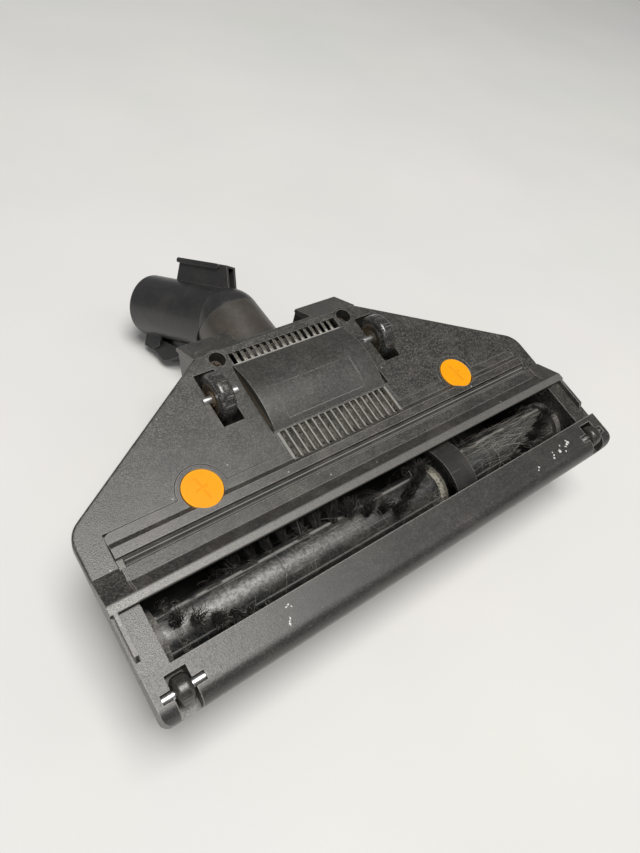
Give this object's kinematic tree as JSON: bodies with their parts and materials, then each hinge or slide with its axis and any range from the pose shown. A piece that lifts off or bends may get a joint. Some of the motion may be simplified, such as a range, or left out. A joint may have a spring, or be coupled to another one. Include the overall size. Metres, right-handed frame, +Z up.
{
  "type": "vacuum floor brush head",
  "caption": "Wide turbine-driven floor brush head with a bristle roller, wheels, quarter-turn brush cover and a swivelling neck tube.",
  "frame": {"origin": "on the flat of the upper housing's crown that the head lies on, at mid width", "axes": "+X across the head, +Y from the nose towards the neck, +Z up through the sole"},
  "size_m": [0.2772, 0.2545, 0.0837],
  "materials": {
    "housing_plastic": "fine satin charcoal",
    "base_plastic": "coarse spark-eroded grain",
    "bar_plastic": "fine satin grain, worn rear edge",
    "cover_plastic": "fine grain",
    "strip_fabric": "ribbed lint strip",
    "lock_plastic": "flat orange",
    "panel_plastic": "smooth satin",
    "guard_plastic": "smooth dark",
    "core_plastic": "dusty",
    "bristle": "dusty black bristle",
    "pulley_plastic": "dusty",
    "bearing_plastic": "dusty translucent",
    "belt_rubber": "flat belt",
    "turbine_plastic": "smooth",
    "steel": "plain pin",
    "screw_steel": "dusty zinc screw",
    "wheel_plastic": "dusty",
    "wheel_rubber": "glossy, scuffed",
    "roller_plastic": "semi-gloss",
    "neck_plastic": "smooth satin",
    "tube_plastic": "smooth charcoal"
  },
  "bodies": {
    "head": {"upper_housing": "housing_plastic", "base_plate": "base_plastic", "front_bar": "bar_plastic", "brush_cover": "cover_plastic", "lint_strip": "strip_fabric", "turbine_cover": "panel_plastic", "belt_guard": "guard_plastic", "left_brush_bearing": "bearing_plastic", "right_brush_bearing": "bearing_plastic", "drive_belt": "belt_rubber", "left_turbine_bearing": "bearing_plastic", "right_turbine_bearing": "bearing_plastic", "left_wheel_axle": "steel", "right_wheel_axle": "steel", "left_roller_pin": "steel", "right_roller_pin": "steel", "housing_screws": "screw_steel", "left_neck_bearing": "bearing_plastic", "right_neck_bearing": "bearing_plastic", "air_duct": "housing_plastic"},
    "left_lock": {"left_lock": "lock_plastic"},
    "right_lock": {"right_lock": "lock_plastic"},
    "brush": {"brush_core": "core_plastic", "brush_tufts": "bristle", "brush_pulley": "pulley_plastic"},
    "turbine": {"turbine_wheel": "turbine_plastic", "turbine_shaft": "steel", "turbine_pulley": "pulley_plastic"},
    "left_wheel": {"left_wheel_hub": "wheel_plastic", "left_wheel_tyre": "wheel_rubber"},
    "right_wheel": {"right_wheel_hub": "wheel_plastic", "right_wheel_tyre": "wheel_rubber"},
    "left_roller": {"left_front_roller": "roller_plastic"},
    "right_roller": {"right_front_roller": "roller_plastic"},
    "neck": {"neck_elbow": "neck_plastic"},
    "tube": {"swivel_tube": "tube_plastic", "swivel_ring": "tube_plastic", "latch_pin": "steel", "latch_spring": "steel"},
    "latch": {"release_latch": "tube_plastic"}
  },
  "joints": [
    {"name": "brush_spin", "type": "hinge", "parent": "head", "child": "brush", "pos_m": [0, -0.03999, 0.03716], "axis": [1, 0, 0], "continuous": true},
    {"name": "turbine_spin", "type": "hinge", "parent": "head", "child": "turbine", "pos_m": [0, 0.03191, 0.05388], "axis": [1, 0, 0], "continuous": true},
    {"name": "left_wheel_spin", "type": "hinge", "parent": "head", "child": "left_wheel", "pos_m": [-0.0508, 0.03993, 0.07143], "axis": [1, 0, 0], "continuous": true},
    {"name": "right_wheel_spin", "type": "hinge", "parent": "head", "child": "right_wheel", "pos_m": [0.0508, 0.03993, 0.07143], "axis": [1, 0, 0], "continuous": true},
    {"name": "left_roller_spin", "type": "hinge", "parent": "head", "child": "left_roller", "pos_m": [-0.1272, -0.06708, 0.05349], "axis": [1, 0, 0], "continuous": true},
    {"name": "right_roller_spin", "type": "hinge", "parent": "head", "child": "right_roller", "pos_m": [0.1272, -0.06708, 0.05349], "axis": [1, 0, 0], "continuous": true},
    {"name": "left_lock_turn", "type": "hinge", "parent": "head", "child": "left_lock", "pos_m": [-0.0809, 0.00139, 0.06324], "axis": [0, -0.2079, 0.9781], "range_deg": [0, 90]},
    {"name": "right_lock_turn", "type": "hinge", "parent": "head", "child": "right_lock", "pos_m": [0.0809, 0.00139, 0.06324], "axis": [0, -0.2079, 0.9781], "range_deg": [0, 90]},
    {"name": "neck_tilt", "type": "hinge", "parent": "head", "child": "neck", "pos_m": [0, 0.06761, 0.03499], "axis": [1, 0, 0], "range_deg": [-60, 10]},
    {"name": "tube_swivel", "type": "hinge", "parent": "neck", "child": "tube", "pos_m": [0, 0.11222, 0.04447], "axis": [0, 0.9781, 0.2079], "range_deg": [-123, 57]},
    {"name": "latch_press", "type": "hinge", "parent": "tube", "child": "latch", "pos_m": [-0.02785, 0.14678, 0.00814], "axis": [0.8377, 0.1135, -0.5342], "range_deg": [-7, 0], "stiffness_Nm_per_rad": 0.4, "springref_deg": 8.59}
  ],
  "couplings": [
    {"joint": "turbine_spin", "follows": "brush_spin", "ratio": 1.9}
  ]
}
